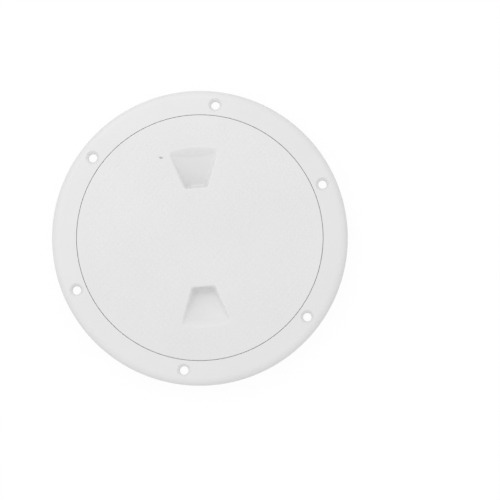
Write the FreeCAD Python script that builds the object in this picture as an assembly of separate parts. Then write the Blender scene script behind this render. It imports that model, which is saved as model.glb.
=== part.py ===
import FreeCAD, Part
import math
import os

from FreeCAD import Vector

# Round screw-out inspection plate for a boat's deck, closed, in millimetres and degrees.
# The deck's top surface is z = 0 and the middle of the plate is x = y = 0.
# The finger recesses of the lid lie on the Y axis.

# Flange of the mounting ring
flange_w = 20.7            # from the lid's mouth to the outer edge, 249 mm across in all
flange_top = 5.5           # height of the flange, and of the closed lid, above the deck
flange_skin = 3.0          # wall over the hollow underside
rim_upright = 1.3          # plain upright edge at the deck
rim_lean = 1.9             # how far the rolled rim leans in above that edge
rim_roll_r = 7.0           # radius of the rolled rim
outer_foot_w = 4.0         # width of the foot under the rim
inner_foot_w = 2.0         # width of the foot round the cut-out
mouth_bevel = 0.25         # bevel at the edge beside the lid

# Screws that hold the ring down
screw_count = 6
screw_inset = 8.7          # from the lid's mouth to the screw circle, 225 mm across
screw_hole_r = 3.6
screw_head_r = 6.0         # mouth of the countersink, with sides at 45 degrees
screw_first_deg = 79.0     # direction of the first screw, counted from +X
screw_boss_r = 7.2
rib_count = 12             # ribs across the hollow underside, one of them at each screw
ring_rib_t = 2.0

# Lid
lid_r = 103.5
lid_gap = 0.3              # gap all round the lid, inside the flange
lid_t = 3.0
lid_top_round = 0.8
skirt_t = 2.8
skirt_chamfer = 0.6
rib_t = 2.0
rib_h = 5.0
lid_rib_count = 8
hub_r = 14.0
hub_t = 2.0

# Finger recesses of the lid, as seen from above
recess_near = 41.6         # distance of the straight narrow end from the middle
recess_near_half = 10.0    # half of the narrow end's width
recess_far_r = 75.8        # the wide end is an arc round the middle of the lid
recess_side_deg = 19.4     # angle of each side to the Y axis
recess_depth = 11.0        # at the narrow end
recess_wall = 2.5
near_lean_deg = 6.0        # lean of the narrow end's wall, from upright
side_lean_deg = 20.0       # lean of the two sides
far_lean_deg = 55.0        # lean of the wide end, which the fingers slide down
floor_rise_deg = 12.0      # the floor rises from the narrow end to the wide one
floor_hollow_r = 60.0      # and is hollow across, part of a long cylinder
recess_corner_r = 3.0
recess_floor_round = 3.2
recess_lip_round = 1.6
recess_shell_round = 4.0   # round the outside of the floor, seen from below

# Rubber sealing ring, pressed between the lid and the floor of its pocket in the mounting ring
seal_w = 3.2
seal_h = 2.9               # as pressed by the closed lid
seal_bevel = 0.7
seal_gap = 0.3             # between the seal and the neck of the lid
neck_past = 1.0            # how far the smooth neck reaches below the seal
pocket_gap = 0.65          # between the seal and the wall of its pocket

# Screw thread between the lid and the ring, right-handed, with one start
thread_pitch = 5.0
thread_h = 1.8
thread_flank_deg = 20.0
thread_gap = 0.4           # between the crest of one thread and the root of the other
thread_slack = 0.6         # play along the axis at the middle of the flanks
thread_land = 0.8          # plain wall left past the thread's lower end
thread_bite = 0.6          # how deep a thread is rooted in its wall
thread_end_w = 7.0         # length over which a thread's end runs out
thread_end_trim = 0.5      # length cut off squarely where it runs out
thread_start_deg = 40.0    # direction of each thread's lower end, counted from +X

# Collar of the mounting ring, which goes down through the deck
collar_depth = 18.0
collar_t = 3.2
spigot_wall = 2.2          # wall round the seal's pocket
spigot_h = 2.4
taper_h = 3.0
collar_chamfer = 0.8

# Worked out from the sizes above
lid_under = flange_top - lid_t
seal_floor = lid_under - seal_h
mouth_r = lid_r + lid_gap
flange_r = mouth_r + flange_w
screw_circle_r = mouth_r + screw_inset
seal_out_r = mouth_r - pocket_gap
seal_in_r = seal_out_r - seal_w
neck_r = seal_in_r - seal_gap
skirt_r = neck_r - thread_h
bore_r = neck_r + thread_gap
flank = math.tan(math.radians(thread_flank_deg))
thread_mid_w = (thread_pitch - thread_slack) / 2
thread_root_w = thread_mid_w + thread_h * flank
neck_low = seal_floor - neck_past
bevel_low = neck_low - thread_h
ring_thread_z = -collar_depth + thread_land + thread_root_w / 2
lid_thread_z = ring_thread_z + thread_pitch / 2
skirt_low = -collar_depth + thread_pitch / 2
thread_top_z = bevel_low - thread_gap - thread_root_w / 2
collar_r = bore_r + collar_t
spigot_r = mouth_r + spigot_wall
relief_in_r = spigot_r + inner_foot_w
relief_out_r = flange_r - outer_foot_w
side_tan = math.tan(math.radians(recess_side_deg))

# Working values of the modelling itself
tool_past = 1.0            # how far a cutting shape reaches past what it cuts
level_play = 0.001         # within this, an edge counts as lying at a height


def corner_arc(before, corner, after, radius):
    """Tangent arc that rounds a corner of an outline: its start, middle and end."""
    back = (before - corner).normalize()
    ahead = (after - corner).normalize()
    half = math.acos(max(-1.0, min(1.0, back.dot(ahead)))) / 2
    start = corner + back * (radius / math.tan(half))
    end = corner + ahead * (radius / math.tan(half))
    inward = (back + ahead).normalize()
    centre = corner + inward * (radius / math.sin(half))
    return start, centre - inward * radius, end


def turned(corners):
    """Solid of revolution from (radius, height) corners; a third value rounds a corner."""
    places = [Vector(corner[0], 0, corner[1]) for corner in corners]
    rounds = [corner[2] if len(corner) > 2 else 0.0 for corner in corners]
    edges = []
    ends = []
    for i, place in enumerate(places):
        if rounds[i] > 0:
            after = places[(i + 1) % len(places)]
            start, middle, end = corner_arc(places[i - 1], place, after, rounds[i])
            edges.append(Part.Arc(start, middle, end).toShape())
            ends.append((start, end))
        else:
            ends.append((place, place))
    for i, (start, end) in enumerate(ends):
        edges.append(Part.LineSegment(ends[i - 1][1], start).toShape())
    outline = Part.Wire(Part.__sortEdges__(edges))
    return Part.Face(outline).revolve(Vector(0, 0, 0), Vector(0, 0, 1), 360)


def pillar(radius, low, high, place=Vector(0, 0, 0)):
    """Upright cylinder between two heights."""
    return Part.makeCylinder(radius, high - low, Vector(place.x, place.y, low))


def tube(inner, outer, low, high):
    """Upright tube between two heights."""
    return pillar(outer, low, high).cut(pillar(inner, low, high))


def radial_bar(start_r, end_r, width, low, high, turn):
    """Straight bar that points away from the middle, in the direction turn."""
    bar = Part.makeBox(end_r - start_r, width, high - low, Vector(start_r, -width / 2, low))
    bar.rotate(Vector(0, 0, 0), Vector(0, 0, 1), turn)
    return bar


def thread(wall_r, crest_r, start_z, end_z):
    """Right-handed ridge on the wall at wall_r, with its ends run out to nothing."""
    outward = 1 if crest_r > wall_r else -1
    root_r = wall_r - outward * thread_bite
    root_half = thread_root_w / 2 + thread_bite * flank
    crest_half = thread_root_w / 2 - thread_h * flank
    section = Part.makePolygon([
        Vector(root_r, 0, -root_half),
        Vector(crest_r, 0, -crest_half),
        Vector(crest_r, 0, crest_half),
        Vector(root_r, 0, root_half),
        Vector(root_r, 0, -root_half),
    ])
    helix = Part.makeLongHelix(thread_pitch, end_z - start_z, (wall_r + crest_r) / 2)
    ridge = Part.Wire(helix).makePipeShell([section], True, True)
    ridge.translate(Vector(0, 0, start_z))
    ridge.rotate(Vector(0, 0, 0), Vector(0, 0, 1), thread_start_deg)
    end_deg = thread_start_deg + 360 * (end_z - start_z) / thread_pitch
    for turn, z, way in ((thread_start_deg, start_z, 1), (end_deg, end_z, -1)):
        ridge = ridge.cut(run_out(wall_r, crest_r, z, turn, way))
    return ridge


def run_out(wall_r, crest_r, z, turn, way):
    """Wedge that is cut off one end of a thread, so that the ridge starts from its wall."""
    outward = 1 if crest_r > wall_r else -1
    buried = wall_r - outward * thread_bite
    past = crest_r + outward * thread_h
    lean = thread_end_w / thread_h
    start = thread_end_trim
    end = start + lean * abs(past - buried)
    low = z - thread_pitch / 2
    wedge = Part.Face(Part.makePolygon([
        Vector(buried, -way * end, low),
        Vector(past, -way * end, low),
        Vector(past, way * end, low),
        Vector(buried, way * start, low),
        Vector(buried, -way * end, low),
    ])).extrude(Vector(0, 0, thread_pitch))
    wedge.rotate(Vector(0, 0, 0), Vector(0, 0, 1), turn)
    return wedge


def leaning(lean_deg, deep, skin):
    """How far a wall stands inside its line at the mouth, this deep and grown by skin."""
    lean = math.radians(lean_deg)
    return deep * math.tan(lean) - skin / math.cos(lean)


def recess_outline(deep, skin):
    """Corners of a recess this deep under the lid's top: half widths, near end and far radius."""
    near = recess_near + leaning(near_lean_deg, deep, skin)
    far = recess_far_r - leaning(far_lean_deg, deep, skin)
    inset = leaning(side_lean_deg, deep, skin) / math.cos(math.radians(recess_side_deg))
    near_half = recess_near_half - inset + (near - recess_near) * side_tan
    far_half = recess_near_half - inset + (lid_r - recess_near) * side_tan
    return near, near_half, far, far_half


def recess_floor(skin):
    """Long cylinder whose underside is the floor of a recess on +Y, grown by skin."""
    rise = math.radians(floor_rise_deg)
    along = Vector(0, math.cos(rise), math.sin(rise))
    across = Vector(0, -math.sin(rise), math.cos(rise))
    deepest = Vector(0, recess_near, flange_top - recess_depth)
    start = deepest + across * floor_hollow_r - along * lid_r
    return Part.makeCylinder(floor_hollow_r + skin, 2 * lid_r, start, along)


def recess_block(skin):
    """Tapering body of a finger recess on +Y, up to the lid's top, grown by skin."""
    rows = []
    cone_r = []
    lowest = recess_depth + skin + tool_past
    for deep in (lowest, 0):
        z = flange_top - deep
        near, near_half, far, far_half = recess_outline(deep, skin)
        rows.append([
            Vector(-near_half, near, z),
            Vector(near_half, near, z),
            Vector(far_half, lid_r, z),
            Vector(-far_half, lid_r, z),
        ])
        cone_r.append(far)
    faces = [Part.Face(Part.makePolygon(row + row[:1])) for row in rows]
    for i in range(4):
        j = (i + 1) % 4
        side = [rows[0][i], rows[0][j], rows[1][j], rows[1][i], rows[0][i]]
        faces.append(Part.Face(Part.makePolygon(side)))
    sides = Part.Solid(Part.Shell(faces))
    cone = Part.makeCone(cone_r[0], cone_r[1], lowest, Vector(0, 0, flange_top - lowest))
    block = sides.common(cone)
    upright = [edge for edge in block.Edges if edge.BoundBox.ZLength > lowest / 2]
    rounded = block.makeFillet(recess_corner_r + skin, upright)
    return rounded.common(recess_floor(skin))


def floor_edges(block):
    """Edges of a recess block round its hollow floor."""
    floor = min(block.Faces, key=lambda face: face.CenterOfMass.z)
    return floor.Edges


def level_edges(block, z):
    """Edges of a block that lie level at height z."""
    edges = []
    for edge in block.Edges:
        ends = [vertex.Z for vertex in edge.Vertexes]
        if max(ends) < z + level_play and min(ends) > z - level_play:
            edges.append(edge)
    return edges


def both_ways(shape):
    """The shape and its copy half a turn round the middle."""
    other = shape.copy()
    other.rotate(Vector(0, 0, 0), Vector(0, 0, 1), 180)
    return [shape, other]


def screw_places():
    """Direction and place of each screw."""
    for i in range(screw_count):
        turn = screw_first_deg + 360 * i / screw_count
        along = math.radians(turn)
        yield turn, Vector(math.cos(along), math.sin(along), 0) * screw_circle_r


def underside_hollow():
    """The cells under the flange, between its feet, bosses and ribs."""
    hollow = tube(relief_in_r, relief_out_r, 0, flange_top - flange_skin)
    solid = []
    for i in range(rib_count):
        turn = screw_first_deg + 360 * i / rib_count
        reach = (relief_in_r - inner_foot_w / 2, relief_out_r + outer_foot_w / 2)
        solid.append(radial_bar(*reach, ring_rib_t, -tool_past, flange_top, turn))
    for turn, place in screw_places():
        solid.append(pillar(screw_boss_r, -tool_past, flange_top, place))
    return hollow.cut(solid)


def screw_opening():
    """The space of one screw: its hole with the countersink above it."""
    return turned([
        (0, -tool_past),
        (screw_hole_r, -tool_past),
        (screw_hole_r, flange_top - (screw_head_r - screw_hole_r)),
        (screw_head_r + tool_past, flange_top + tool_past),
        (0, flange_top + tool_past),
    ])


def mounting_ring():
    """Flange with its rolled rim, seal pocket and threaded collar, in one moulding."""
    body = turned([
        (bore_r, -collar_depth),
        (collar_r - collar_chamfer, -collar_depth),
        (collar_r, -collar_depth + collar_chamfer),
        (collar_r, -spigot_h - taper_h),
        (spigot_r, -spigot_h),
        (spigot_r, 0),
        (flange_r, 0),
        (flange_r, rim_upright),
        (flange_r - rim_lean, flange_top, rim_roll_r),
        (mouth_r + mouth_bevel, flange_top),
        (mouth_r, flange_top - mouth_bevel),
        (mouth_r, seal_floor),
        (bore_r, seal_floor),
    ])
    body = body.cut(underside_hollow())
    for turn, place in screw_places():
        body = body.cut(screw_opening().translated(place))
    return body.fuse(thread(bore_r, bore_r - thread_h, ring_thread_z, thread_top_z))


def screw_lid():
    """Lid with its two finger recesses, stiffening ribs and threaded skirt, in one moulding."""
    skirt_in = skirt_r - skirt_t
    plate = turned([
        (0, lid_under),
        (skirt_in, lid_under),
        (skirt_in, skirt_low),
        (skirt_r - skirt_chamfer, skirt_low),
        (skirt_r, skirt_low + skirt_chamfer),
        (skirt_r, bevel_low),
        (neck_r, neck_low),
        (neck_r, lid_under),
        (lid_r, lid_under),
        (lid_r, flange_top, lid_top_round),
        (0, flange_top),
    ])
    shell = recess_block(recess_wall)
    shells = both_ways(shell.makeFillet(recess_shell_round, floor_edges(shell)))
    shells = [shell.common(pillar(lid_r, -collar_depth, lid_under + lid_t / 2)) for shell in shells]
    body = plate.fuse(shells)
    ribs = [tube(hub_r - hub_t, hub_r, lid_under - rib_h, lid_under + lid_t / 2)]
    for i in range(lid_rib_count):
        turn = 90 + 360 * (i + 0.5) / lid_rib_count
        reach = (hub_r - hub_t / 2, skirt_in + skirt_t / 2)
        ribs.append(radial_bar(*reach, rib_t, lid_under - rib_h, lid_under + lid_t / 2, turn))
    body = body.fuse(ribs)
    hollow = recess_block(0)
    body = body.cut(both_ways(hollow.makeFillet(recess_floor_round, floor_edges(hollow))))
    mouths = [edge for edge in level_edges(body, flange_top) if not edge.isClosed()]
    body = body.makeFillet(recess_lip_round, mouths)
    return body.fuse(thread(skirt_r, neck_r, lid_thread_z, thread_top_z))


def seal_ring():
    """Rubber ring of square section, bevelled below."""
    return turned([
        (seal_in_r, seal_floor + seal_bevel),
        (seal_in_r + seal_bevel, seal_floor),
        (seal_out_r - seal_bevel, seal_floor),
        (seal_out_r, seal_floor + seal_bevel),
        (seal_out_r, lid_under),
        (seal_in_r, lid_under),
    ])


def write_part(name, shape):
    """Write one piece, as a single solid, to its own file."""
    solid = shape.Solids[0] if len(shape.Solids) == 1 else shape
    print(name, len(shape.Solids), "solid", shape.isValid(), round(shape.Volume / 1000, 2), "cm3")
    solid.exportStep("parts/" + name + ".step")


os.makedirs("parts", exist_ok=True)
write_part("mounting_ring", mounting_ring())
write_part("screw_lid", screw_lid())
write_part("seal_ring", seal_ring())
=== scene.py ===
import math
import random

import bpy
from mathutils import Matrix, Vector


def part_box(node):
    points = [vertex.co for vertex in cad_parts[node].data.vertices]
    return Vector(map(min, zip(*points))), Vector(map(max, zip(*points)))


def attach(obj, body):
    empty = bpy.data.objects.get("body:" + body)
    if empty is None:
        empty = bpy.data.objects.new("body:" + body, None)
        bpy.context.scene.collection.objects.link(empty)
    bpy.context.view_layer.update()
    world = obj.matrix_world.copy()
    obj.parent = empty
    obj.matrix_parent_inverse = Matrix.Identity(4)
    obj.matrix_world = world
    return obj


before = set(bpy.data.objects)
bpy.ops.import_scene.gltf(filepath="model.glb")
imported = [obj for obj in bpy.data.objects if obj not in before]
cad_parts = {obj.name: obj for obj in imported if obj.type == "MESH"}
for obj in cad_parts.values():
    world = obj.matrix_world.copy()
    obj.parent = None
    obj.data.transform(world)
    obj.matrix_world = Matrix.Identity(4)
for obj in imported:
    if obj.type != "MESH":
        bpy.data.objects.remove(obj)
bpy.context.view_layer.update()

# Looks of a white deck inspection plate, lying closed on a pale floor. Lengths are in metres.
# The lid's finger recesses lie on the Y axis, as in the frame.

# The photograph: a square picture, seen nearly from straight above
photo_px = 500
plate_centre_px = (199.8, 237.1)
plate_width_px = 296.55
recess_turn = math.radians(4.4)      # recess axis, counter-clockwise from the picture's up
view_lean = math.radians(4.2)        # camera leans this far towards the picture's bottom
lens_mm = 137.0
sensor_mm = 36.0

# Directions of the picture on the floor, and straight up
picture_up = Vector((math.sin(recess_turn), math.cos(recess_turn), 0))
picture_right = Vector((math.cos(recess_turn), -math.sin(recess_turn), 0))
upward = Vector((0, 0, 1))

# Sizes read from the frame
ring_low, ring_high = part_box("mounting_ring")
plate_width = ring_high.x - ring_low.x
lid_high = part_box("screw_lid")[1]
lid_top = lid_high.z
lid_r = lid_high.x

# Materials
plastic_white = 0.79                 # share of the light that the plastic sends back
grain_depth = 0.0001
noise_low = 0.3                      # usual range of a noise
noise_high = 0.7

# Anti-slip pattern on the lid: low square pads in diagonal rows
pad_pitch = 0.004                    # from pad to pad along a row
pad_offset = 0.5                     # of a step, so that no pad is centred on the lid's middle
pad_side = 0.0029
pad_height = 0.00008
pad_sink = 0.0003                    # how far a pad goes down into the lid
pad_shoulder = 0.00022               # width of each of the two slopes round a pad's top
shoulder_share = 0.8                 # of the pad's height, where the steeper slope ends
border_w = 0.0062                    # plain border between the pattern and the lid's edge
recess_margin = 0.0035               # plain strip round each finger recess

# Mouth of each finger recess, with the sizes that the solids have
recess_near = 0.0416                 # distance of the straight narrow end from the middle
recess_near_half = 0.010             # half of the narrow end's width
recess_far_r = 0.0758                # the wide end is an arc round the middle of the lid
recess_side = math.radians(19.4)     # angle of each side to the Y axis

# Small grey fleck on the lid, to the left of the upper recess
fleck_px = (160.5, 157.2)
fleck_turn = -0.2                    # radians, counter-clockwise from the picture's right
fleck_length = 0.0030
fleck_width = 0.0019
fleck_height = 0.00025
fleck_corners = 48                   # round its outline
fleck_seed = 7

# Rings of the fleck, from its sunk foot to its top: shares of its reach and of its height
fleck_rings = ((1.0, -0.3), (1.0, 0.1), (0.9, 0.45), (0.65, 0.75), (0.35, 0.9))

# Waves in the fleck's outline: how many go round it, and their share of its reach
fleck_waves = ((2, 0.1), (3, 0.1), (5, 0.05))

# Light: together the levels show a colour about as it is written
tent_top = 0.61                      # straight up
tent_horizon = 1.29                  # low down, on all sides
key_place = (-0.35, 0.45, 0.9)       # towards the picture's right, its top, and up
key_side = 0.9
key_watts = 2.36

# Floor: it looks white with a faint shadow, and sends less light back up
floor_half = 4.0
floor_play = 0.0002                  # so that no face of the collar lies in the floor
floor_glow = 0.944                   # what is seen of it in full shadow
floor_shade = 0.065                  # what the light adds to that
floor_bounce = 0.4                   # share of the light that it sends back to the plate


def px_to_plate(px):
    """Place on the plate, seen from above, from a place in the picture."""
    scale = plate_width / plate_width_px
    right = (px[0] - plate_centre_px[0]) * scale
    up = (plate_centre_px[1] - px[1]) * scale
    return picture_right * right + picture_up * up


def new_material(name):
    """Empty material with a Principled shader, and what is needed to add nodes to it."""
    material = bpy.data.materials.new(name)
    material.use_nodes = True
    nodes = material.node_tree.nodes
    return material, nodes, material.node_tree.links, nodes["Principled BSDF"]


def noise(nodes, links, place, scale, detail=2.0):
    """Noise texture over a place output, as its factor output."""
    texture = nodes.new("ShaderNodeTexNoise")
    texture.inputs["Scale"].default_value = scale
    texture.inputs["Detail"].default_value = detail
    links.new(place, texture.inputs["Vector"])
    return texture.outputs["Fac"]


def spread(nodes, links, value, low, high):
    """A noise value, with its usual range stretched between low and high."""
    ranged = nodes.new("ShaderNodeMapRange")
    ranged.inputs["From Min"].default_value = noise_low
    ranged.inputs["From Max"].default_value = noise_high
    ranged.inputs["To Min"].default_value = low
    ranged.inputs["To Max"].default_value = high
    links.new(value, ranged.inputs["Value"])
    return ranged.outputs["Result"]


def grey(nodes, links, value):
    """Grey colour from a value."""
    colour = nodes.new("ShaderNodeCombineColor")
    for channel in ("Red", "Green", "Blue"):
        links.new(value, colour.inputs[channel])
    return colour.outputs["Color"]


def grain(nodes, links, place, scale, strength):
    """Normal of a surface with a fine grain."""
    bump = nodes.new("ShaderNodeBump")
    bump.inputs["Strength"].default_value = strength
    bump.inputs["Distance"].default_value = grain_depth
    links.new(noise(nodes, links, place, scale), bump.inputs["Height"])
    return bump.outputs["Normal"]


def moulded_plastic(name, shift):
    """Satin white ABS: clouds of slightly different white, moved by shift, and a fine grain."""
    material, nodes, links, shader = new_material(name)
    places = nodes.new("ShaderNodeTexCoord")
    moved = nodes.new("ShaderNodeMapping")
    moved.inputs["Location"].default_value = (shift, shift / 2, 0)
    links.new(places.outputs["Object"], moved.inputs["Vector"])
    place = moved.outputs["Vector"]
    clouds = noise(nodes, links, place, 14.0, 3.0)
    tone = spread(nodes, links, clouds, plastic_white * 0.985, plastic_white * 1.012)
    links.new(grey(nodes, links, tone), shader.inputs["Base Color"])
    sheen_clouds = noise(nodes, links, place, 45.0, 4.0)
    rough = spread(nodes, links, sheen_clouds, 0.36, 0.46)
    links.new(rough, shader.inputs["Roughness"])
    links.new(grain(nodes, links, place, 1800.0, 0.12), shader.inputs["Normal"])
    shader.inputs["IOR"].default_value = 1.5
    return material


def rubber(name):
    """Matt black rubber with a dusty bloom."""
    material, nodes, links, shader = new_material(name)
    places = nodes.new("ShaderNodeTexCoord")
    place = places.outputs["Object"]
    bloom = noise(nodes, links, place, 90.0, 4.0)
    links.new(grey(nodes, links, spread(nodes, links, bloom, 0.022, 0.042)), shader.inputs["Base Color"])
    links.new(spread(nodes, links, bloom, 0.62, 0.78), shader.inputs["Roughness"])
    links.new(grain(nodes, links, place, 2500.0, 0.2), shader.inputs["Normal"])
    return material


def fleck_dirt(name):
    """Grey dried dirt, uneven in its tone."""
    material, nodes, links, shader = new_material(name)
    places = nodes.new("ShaderNodeTexCoord")
    crumbs = noise(nodes, links, places.outputs["Object"], 1500.0, 4.0)
    links.new(grey(nodes, links, spread(nodes, links, crumbs, 0.38, 0.54)), shader.inputs["Base Color"])
    links.new(spread(nodes, links, crumbs, 0.7, 0.9), shader.inputs["Roughness"])
    return material


def dress(node, material):
    """Give a carried-over node its material."""
    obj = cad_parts[node]
    for slot in obj.material_slots:
        slot.material = material


def clipped(outline, point, outward):
    """Part of a convex outline that lies behind the line through point, which faces outward."""
    kept = []
    for i, corner in enumerate(outline):
        before = outline[i - 1]
        here = (corner - point).dot(outward)
        there = (before - point).dot(outward)
        if (here > 0) != (there > 0):
            kept.append(before.lerp(corner, there / (there - here)))
        if here <= 0:
            kept.append(corner)
    return kept


def inset(outline, width):
    """Convex outline moved inwards by width, or nothing where it is too small for that."""
    count = len(outline)
    lines = []
    for i, corner in enumerate(outline):
        along = (outline[(i + 1) % count] - corner).normalized()
        inward = Vector((-along.y, along.x))
        lines.append((corner + inward * width, along))
    moved = []
    for i in range(count):
        start, along = lines[i]
        other, other_along = lines[i - 1]
        cross = along.x * other_along.y - along.y * other_along.x
        if abs(cross) < 1e-6:
            return []
        gap = other - start
        moved.append(start + along * ((gap.x * other_along.y - gap.y * other_along.x) / cross))
    for i, corner in enumerate(moved):
        if (moved[(i + 1) % count] - corner).dot(lines[i][1]) <= 0:
            return []
    return moved


def recess_edges(way, centre):
    """Lines of one recess's margin, as point and outward direction; way is 1 on +Y, -1 on -Y."""
    near = recess_near - recess_margin
    half = recess_near_half + recess_margin / math.cos(recess_side)
    edges = [(Vector((0, way * near)), Vector((0, -way)))]
    for side in (-1, 1):
        outward = Vector((side * math.cos(recess_side), -way * math.sin(recess_side)))
        edges.append((Vector((side * half, way * recess_near)), outward))
    outward = centre.normalized()
    edges.append((outward * (recess_far_r + recess_margin), outward))
    return edges


def pad_outline(centre):
    """Outline of a pad, cut at the pattern's borders, or nothing where no pad fits."""
    half_diagonal = pad_side / math.sqrt(2)
    outline = [centre + Vector(way) * half_diagonal for way in ((1, 0), (0, 1), (-1, 0), (0, -1))]
    outward = centre.normalized()
    outline = clipped(outline, outward * (lid_r - border_w), outward)
    for way in (-1, 1):
        if centre.y * way > 0 and outline:
            edges = recess_edges(way, centre)
            point, facing = max(edges, key=lambda edge: (centre - edge[0]).dot(edge[1]))
            outline = clipped(outline, point, -facing)
    return outline if len(outline) > 2 else []


def add_mound(corners, faces, rings):
    """Add a closed form through rings of corners, from its foot up to its top."""
    first = len(corners)
    count = len(rings[0])
    for ring in rings:
        corners.extend(ring)
    faces.append([first + i for i in reversed(range(count))])
    for level in range(len(rings) - 1):
        base = first + level * count
        for i in range(count):
            after = (i + 1) % count
            faces.append([base + i, base + after, base + count + after, base + count + i])
    faces.append([first + (len(rings) - 1) * count + i for i in range(count)])


def add_pad(corners, faces, outline):
    """Add one closed pad with a sloped edge and a softened shoulder."""
    shoulder = inset(outline, pad_shoulder) if outline else []
    top = inset(shoulder, pad_shoulder) if shoulder else []
    if not top:
        return
    levels = (
        (outline, lid_top - pad_sink),
        (outline, lid_top),
        (shoulder, lid_top + pad_height * shoulder_share),
        (top, lid_top + pad_height),
    )
    add_mound(corners, faces, [[(corner.x, corner.y, z) for corner in ring] for ring, z in levels])


def new_piece(name, corners, faces, body):
    """Mesh piece that rides on a body."""
    mesh = bpy.data.meshes.new(name)
    mesh.from_pydata(corners, [], faces)
    mesh.validate()
    mesh.update()
    piece = bpy.data.objects.new(name, mesh)
    bpy.context.scene.collection.objects.link(piece)
    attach(piece, body)
    return piece


def lid_pattern():
    """The raised pads of the lid's anti-slip pattern, as one piece."""
    corners = []
    faces = []
    reach = math.ceil(lid_r / pad_pitch * math.sqrt(2))
    step = pad_pitch / math.sqrt(2)
    for row in range(-reach, reach + 1):
        for column in range(-reach, reach + 1):
            centre = Vector(((row + column) * step, (row - column + pad_offset) * step))
            if centre.length > lid_r:
                continue
            add_pad(corners, faces, pad_outline(centre))
    return new_piece("lid_pattern", corners, faces, "lid")


def lid_fleck():
    """Small dried fleck of dirt, an uneven low mound."""
    chance = random.Random(fleck_seed)
    waves = [(times, share, chance.uniform(0, 2 * math.pi)) for times, share in fleck_waves]
    place = px_to_plate(fleck_px)
    along = picture_right * math.cos(fleck_turn) + picture_up * math.sin(fleck_turn)
    across = upward.cross(along)
    rings = []
    for size, height in fleck_rings:
        ring = []
        for i in range(fleck_corners):
            turn = 2 * math.pi * i / fleck_corners
            reach = size * (1 + sum(share * math.sin(times * turn + start) for times, share, start in waves))
            spot = place + along * (math.cos(turn) * reach * fleck_length / 2)
            spot += across * (math.sin(turn) * reach * fleck_width / 2)
            ring.append((spot.x, spot.y, lid_top + height * fleck_height))
        rings.append(ring)
    corners = []
    faces = []
    add_mound(corners, faces, rings)
    return new_piece("lid_fleck", corners, faces, "lid")


def seen_rays(nodes, links):
    """One for rays that show the picture's background, directly or by gloss or glass."""
    path = nodes.new("ShaderNodeLightPath")
    total = path.outputs["Is Camera Ray"]
    for name in ("Is Glossy Ray", "Is Transmission Ray"):
        either = nodes.new("ShaderNodeMath")
        either.operation = "MAXIMUM"
        links.new(total, either.inputs[0])
        links.new(path.outputs[name], either.inputs[1])
        total = either.outputs["Value"]
    return total


def white_backdrop():
    """World like a white tent, brightest low down, that is seen as plain white."""
    world = bpy.data.worlds.new("studio")
    bpy.context.scene.world = world
    world.use_nodes = True
    nodes = world.node_tree.nodes
    links = world.node_tree.links
    light = nodes["Background"]
    light.inputs["Color"].default_value = (1, 1, 1, 1)
    places = nodes.new("ShaderNodeTexCoord")
    rise = nodes.new("ShaderNodeVectorMath")
    rise.operation = "DOT_PRODUCT"
    rise.inputs[1].default_value = upward * (tent_top - tent_horizon)
    links.new(places.outputs["Generated"], rise.inputs[0])
    level = nodes.new("ShaderNodeMath")
    level.operation = "ADD"
    level.inputs[1].default_value = tent_horizon
    links.new(rise.outputs["Value"], level.inputs[0])
    links.new(level.outputs["Value"], light.inputs["Strength"])
    seen = nodes.new("ShaderNodeBackground")
    seen.inputs["Color"].default_value = (1, 1, 1, 1)
    mix = nodes.new("ShaderNodeMixShader")
    links.new(seen_rays(nodes, links), mix.inputs["Fac"])
    links.new(light.outputs["Background"], mix.inputs[1])
    links.new(seen.outputs["Background"], mix.inputs[2])
    links.new(mix.outputs["Shader"], nodes["World Output"].inputs["Surface"])


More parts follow.
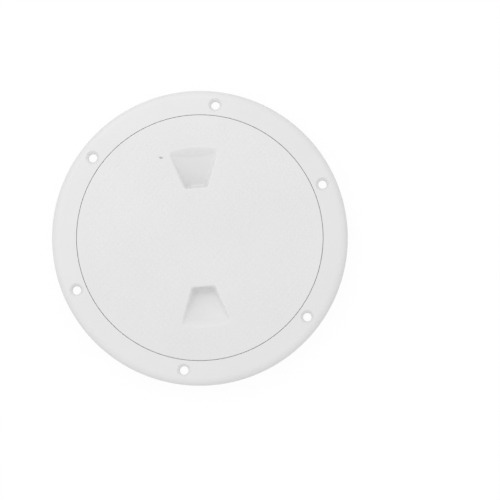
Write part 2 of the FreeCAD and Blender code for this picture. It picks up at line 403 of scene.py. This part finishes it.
def pale_floor():
    """Wide floor under the plate: nearly white, with a faint shadow."""
    level = ring_low.z - floor_play
    sides = ((-1, -1), (1, -1), (1, 1), (-1, 1))
    square = [(x * floor_half, y * floor_half, level) for x, y in sides]
    mesh = bpy.data.meshes.new("floor")
    mesh.from_pydata(square, [], [(0, 1, 2, 3)])
    floor = bpy.data.objects.new("floor", mesh)
    bpy.context.scene.collection.objects.link(floor)
    material, nodes, links, shader = new_material("floor_white")
    nodes.remove(shader)
    surface = nodes.new("ShaderNodeBsdfDiffuse")
    surface.inputs["Color"].default_value = (floor_bounce, floor_bounce, floor_bounce, 1)
    faint = nodes.new("ShaderNodeBsdfDiffuse")
    faint.inputs["Color"].default_value = (floor_shade, floor_shade, floor_shade, 1)
    glow = nodes.new("ShaderNodeEmission")
    glow.inputs["Strength"].default_value = floor_glow
    both = nodes.new("ShaderNodeAddShader")
    links.new(faint.outputs["BSDF"], both.inputs[0])
    links.new(glow.outputs["Emission"], both.inputs[1])
    mix = nodes.new("ShaderNodeMixShader")
    links.new(seen_rays(nodes, links), mix.inputs["Fac"])
    links.new(surface.outputs["BSDF"], mix.inputs[1])
    links.new(both.outputs["Shader"], mix.inputs[2])
    links.new(mix.outputs["Shader"], nodes["Material Output"].inputs["Surface"])
    mesh.materials.append(material)


def key_light():
    """Square area light over the plate, aimed at its middle."""
    data = bpy.data.lights.new("key_light", "AREA")
    data.shape = "SQUARE"
    data.size = key_side
    data.energy = key_watts
    light = bpy.data.objects.new("key_light", data)
    bpy.context.scene.collection.objects.link(light)
    right, up, height = key_place
    light.location = picture_right * right + picture_up * up + upward * height
    light.rotation_mode = "QUATERNION"
    light.rotation_quaternion = light.location.to_track_quat("Z", "Y")


def photo_camera():
    """Camera at the photograph's angle, with the plate where the photograph has it."""
    scale = plate_width / plate_width_px
    distance = photo_px * scale * lens_mm / sensor_mm
    back = upward * math.cos(view_lean) - picture_up * math.sin(view_lean)
    up = picture_up * math.cos(view_lean) + upward * math.sin(view_lean)
    data = bpy.data.cameras.new("camera")
    data.lens = lens_mm
    data.sensor_width = sensor_mm
    camera = bpy.data.objects.new("camera", data)
    bpy.context.scene.collection.objects.link(camera)
    middle = upward * lid_top
    middle += picture_right * ((photo_px / 2 - plate_centre_px[0]) * scale)
    middle -= up * ((photo_px / 2 - plate_centre_px[1]) * scale)
    turn = Matrix((picture_right, up, back)).transposed()
    camera.matrix_world = Matrix.Translation(middle + back * distance) @ turn.to_4x4()
    bpy.context.scene.camera = camera


lid_plastic = moulded_plastic("lid_plastic", 0.0)
dress("mounting_ring", moulded_plastic("ring_plastic", 3.0))
dress("screw_lid", lid_plastic)
dress("seal_ring", rubber("seal_rubber"))
lid_pattern().data.materials.append(lid_plastic)
lid_fleck().data.materials.append(fleck_dirt("fleck_dirt"))

white_backdrop()
pale_floor()
key_light()
photo_camera()
bpy.context.scene.view_settings.view_transform = "Standard"
